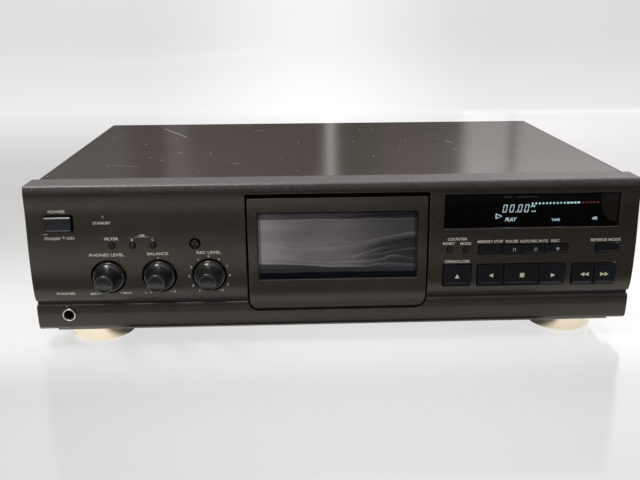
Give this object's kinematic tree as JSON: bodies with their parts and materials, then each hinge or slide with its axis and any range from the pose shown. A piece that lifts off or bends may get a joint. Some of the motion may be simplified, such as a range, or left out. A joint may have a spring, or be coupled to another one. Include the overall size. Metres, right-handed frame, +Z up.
{
  "type": "cassette deck",
  "caption": "Full-width stereo cassette deck with a tilting tape door, auto-reverse mechanism, rotary level knobs, push keys, display window and round feet.",
  "frame": {"origin": "centre of the overall box in plan, at the height of the feet's undersides", "axes": "+X to the right of someone facing the front, -Y out of the front, +Z up"},
  "size_m": [0.43, 0.2862, 0.1215],
  "materials": {
    "panel_plastic": "satin moulded",
    "door_plastic": "satin moulded",
    "smoked_window": "polished smoked acrylic",
    "button_plastic": "satin",
    "knob_plastic": "semi-gloss",
    "cover_paint": "semi-gloss fine texture",
    "zinc_steel": "zinc plated",
    "flywheel_steel": "turned",
    "foot_gold": "champagne plated",
    "screw_black": "black oxide",
    "nickel": "nickel plated",
    "black_plastic": "moulded",
    "white_plastic": "acetal",
    "rubber": "matt",
    "circuit_board": "laminate",
    "tube_glass": "clear",
    "lamp_plastic": "tinted",
    "transformer_iron": "laminations"
  },
  "bodies": {
    "root": {"audio_sockets": "black_plastic", "capstan_motor": "zinc_steel", "chassis": "zinc_steel", "cover_screw_front_left": "screw_black", "cover_screw_front_right": "screw_black", "cover_screw_rear_left": "screw_black", "cover_screw_rear_right": "screw_black", "display_board": "circuit_board", "display_tube": "tube_glass", "display_window": "smoked_window", "door_damper": "black_plastic", "drive_belt": "rubber", "foot_front_left": "foot_gold", "foot_front_right": "foot_gold", "foot_rear_left": "foot_gold", "foot_rear_right": "foot_gold", "front_panel": "panel_plastic", "level_board": "circuit_board", "main_board": "circuit_board", "mains_inlet": "black_plastic", "mechanism_plate": "zinc_steel", "phones_socket": "nickel", "rear_panel": "cover_paint", "standby_lamp": "lamp_plastic", "top_cover": "cover_paint", "transformer": "transformer_iron"},
    "power_button": {"power_button": "button_plastic"},
    "filter_button": {"filter_button": "button_plastic"},
    "noise_button_one": {"noise_button_one": "button_plastic"},
    "noise_button_two": {"noise_button_two": "button_plastic"},
    "calibrate_button": {"calibrate_button": "button_plastic"},
    "counter_reset_button": {"counter_reset_button": "button_plastic"},
    "counter_mode_button": {"counter_mode_button": "button_plastic"},
    "memory_button": {"memory_button": "button_plastic"},
    "pause_button": {"pause_button": "button_plastic"},
    "rec_mute_button": {"rec_mute_button": "button_plastic"},
    "record_button": {"record_button": "button_plastic"},
    "reverse_mode_button": {"reverse_mode_button": "button_plastic"},
    "open_close_button": {"open_close_button": "button_plastic"},
    "reverse_play_button": {"reverse_play_button": "button_plastic"},
    "stop_button": {"stop_button": "button_plastic"},
    "forward_play_button": {"forward_play_button": "button_plastic"},
    "rewind_button": {"rewind_button": "button_plastic"},
    "fast_forward_button": {"fast_forward_button": "button_plastic"},
    "phones_level_knob": {"phones_level_knob": "knob_plastic"},
    "balance_knob": {"balance_knob": "knob_plastic"},
    "record_level_knob": {"record_level_knob": "knob_plastic"},
    "door": {"door_frame": "door_plastic", "door_window": "smoked_window", "cassette_holder": "black_plastic"},
    "damper": {"damper_gear": "white_plastic"},
    "head_base": {"head_carriage": "zinc_steel"},
    "head": {"tape_head": "nickel"},
    "pinch_roller_left": {"pinch_roller_left": "rubber"},
    "flywheel_left": {"flywheel_left": "flywheel_steel"},
    "reel_hub_left": {"reel_hub_left": "white_plastic"},
    "pinch_roller_right": {"pinch_roller_right": "rubber"},
    "flywheel_right": {"flywheel_right": "flywheel_steel"},
    "reel_hub_right": {"reel_hub_right": "white_plastic"},
    "pulley": {"motor_pulley": "white_plastic"}
  },
  "joints": [
    {"name": "power_button_press", "type": "slide", "parent": "root", "child": "power_button", "axis": [0, 1, 0], "range_m": [0, 0.0025], "stiffness_N_per_m": 300},
    {"name": "filter_button_press", "type": "slide", "parent": "root", "child": "filter_button", "axis": [0, 1, 0], "range_m": [0, 0.0018], "stiffness_N_per_m": 300},
    {"name": "noise_button_one_press", "type": "slide", "parent": "root", "child": "noise_button_one", "axis": [0, 1, 0], "range_m": [0, 0.0018], "stiffness_N_per_m": 300},
    {"name": "noise_button_two_press", "type": "slide", "parent": "root", "child": "noise_button_two", "axis": [0, 1, 0], "range_m": [0, 0.0018], "stiffness_N_per_m": 300},
    {"name": "calibrate_button_press", "type": "slide", "parent": "root", "child": "calibrate_button", "axis": [0, 1, 0], "range_m": [0, 0.0018], "stiffness_N_per_m": 300},
    {"name": "counter_reset_button_press", "type": "slide", "parent": "root", "child": "counter_reset_button", "axis": [0, 1, 0], "range_m": [0, 0.0012], "stiffness_N_per_m": 300},
    {"name": "counter_mode_button_press", "type": "slide", "parent": "root", "child": "counter_mode_button", "axis": [0, 1, 0], "range_m": [0, 0.0012], "stiffness_N_per_m": 300},
    {"name": "memory_button_press", "type": "slide", "parent": "root", "child": "memory_button", "axis": [0, 1, 0], "range_m": [0, 0.0012], "stiffness_N_per_m": 300},
    {"name": "pause_button_press", "type": "slide", "parent": "root", "child": "pause_button", "axis": [0, 1, 0], "range_m": [0, 0.0012], "stiffness_N_per_m": 300},
    {"name": "rec_mute_button_press", "type": "slide", "parent": "root", "child": "rec_mute_button", "axis": [0, 1, 0], "range_m": [0, 0.0012], "stiffness_N_per_m": 300},
    {"name": "record_button_press", "type": "slide", "parent": "root", "child": "record_button", "axis": [0, 1, 0], "range_m": [0, 0.0012], "stiffness_N_per_m": 300},
    {"name": "reverse_mode_button_press", "type": "slide", "parent": "root", "child": "reverse_mode_button", "axis": [0, 1, 0], "range_m": [0, 0.0012], "stiffness_N_per_m": 300},
    {"name": "open_close_button_press", "type": "slide", "parent": "root", "child": "open_close_button", "axis": [0, 1, 0], "range_m": [0, 0.0012], "stiffness_N_per_m": 300},
    {"name": "reverse_play_button_press", "type": "slide", "parent": "root", "child": "reverse_play_button", "axis": [0, 1, 0], "range_m": [0, 0.0012], "stiffness_N_per_m": 300},
    {"name": "stop_button_press", "type": "slide", "parent": "root", "child": "stop_button", "axis": [0, 1, 0], "range_m": [0, 0.0012], "stiffness_N_per_m": 300},
    {"name": "forward_play_button_press", "type": "slide", "parent": "root", "child": "forward_play_button", "axis": [0, 1, 0], "range_m": [0, 0.0012], "stiffness_N_per_m": 300},
    {"name": "rewind_button_press", "type": "slide", "parent": "root", "child": "rewind_button", "axis": [0, 1, 0], "range_m": [0, 0.0012], "stiffness_N_per_m": 300},
    {"name": "fast_forward_button_press", "type": "slide", "parent": "root", "child": "fast_forward_button", "axis": [0, 1, 0], "range_m": [0, 0.0012], "stiffness_N_per_m": 300},
    {"name": "phones_level_knob_turn", "type": "hinge", "parent": "root", "child": "phones_level_knob", "pos_m": [-0.1611, -0.1245, 0.0562], "axis": [0, 1, 0], "range_deg": [-150, 150]},
    {"name": "balance_knob_turn", "type": "hinge", "parent": "root", "child": "balance_knob", "pos_m": [-0.1256, -0.1245, 0.0563], "axis": [0, 1, 0], "range_deg": [-150, 150]},
    {"name": "record_level_knob_turn", "type": "hinge", "parent": "root", "child": "record_level_knob", "pos_m": [-0.0904, -0.1245, 0.0563], "axis": [0, 1, 0], "range_deg": [-146, 146]},
    {"name": "door_tilt", "type": "hinge", "parent": "root", "child": "door", "pos_m": [0.00065, -0.1217, 0.0302], "axis": [1, 0, 0], "range_deg": [0, 25]},
    {"name": "damper_turn", "type": "hinge", "parent": "root", "child": "damper", "pos_m": [0.05265, -0.09524, 0.04254], "axis": [1, 0, 0], "range_deg": [-121, 1]},
    {"name": "head_lift", "type": "slide", "parent": "root", "child": "head_base", "axis": [0, 0, 1], "range_m": [0, 0.0072]},
    {"name": "head_turn", "type": "hinge", "parent": "head_base", "child": "head", "pos_m": [0.00065, -0.1127, 0.034], "axis": [0, 0, 1], "range_deg": [0, 180]},
    {"name": "pinch_roller_left_spin", "type": "hinge", "parent": "head_base", "child": "pinch_roller_left", "pos_m": [-0.02485, -0.112, 0.0353], "axis": [0, 1, 0], "continuous": true},
    {"name": "flywheel_left_spin", "type": "hinge", "parent": "root", "child": "flywheel_left", "pos_m": [-0.02485, -0.0745, 0.05], "axis": [0, 1, 0], "continuous": true},
    {"name": "reel_hub_left_spin", "type": "hinge", "parent": "root", "child": "reel_hub_left", "pos_m": [-0.0206, -0.1065, 0.0768], "axis": [0, 1, 0], "continuous": true},
    {"name": "pinch_roller_right_spin", "type": "hinge", "parent": "head_base", "child": "pinch_roller_right", "pos_m": [0.02615, -0.112, 0.0353], "axis": [0, 1, 0], "continuous": true},
    {"name": "flywheel_right_spin", "type": "hinge", "parent": "root", "child": "flywheel_right", "pos_m": [0.02615, -0.0745, 0.05], "axis": [0, 1, 0], "continuous": true},
    {"name": "reel_hub_right_spin", "type": "hinge", "parent": "root", "child": "reel_hub_right", "pos_m": [0.0219, -0.1065, 0.0768], "axis": [0, 1, 0], "continuous": true},
    {"name": "motor_spin", "type": "hinge", "parent": "root", "child": "pulley", "pos_m": [0.03265, -0.0725, 0.099], "axis": [0, 1, 0], "continuous": true}
  ],
  "couplings": [
    {"joint": "damper_turn", "follows": "door_tilt", "ratio": -4.8},
    {"joint": "flywheel_right_spin", "follows": "flywheel_left_spin", "ratio": -1},
    {"joint": "motor_spin", "follows": "flywheel_left_spin", "ratio": 4}
  ]
}
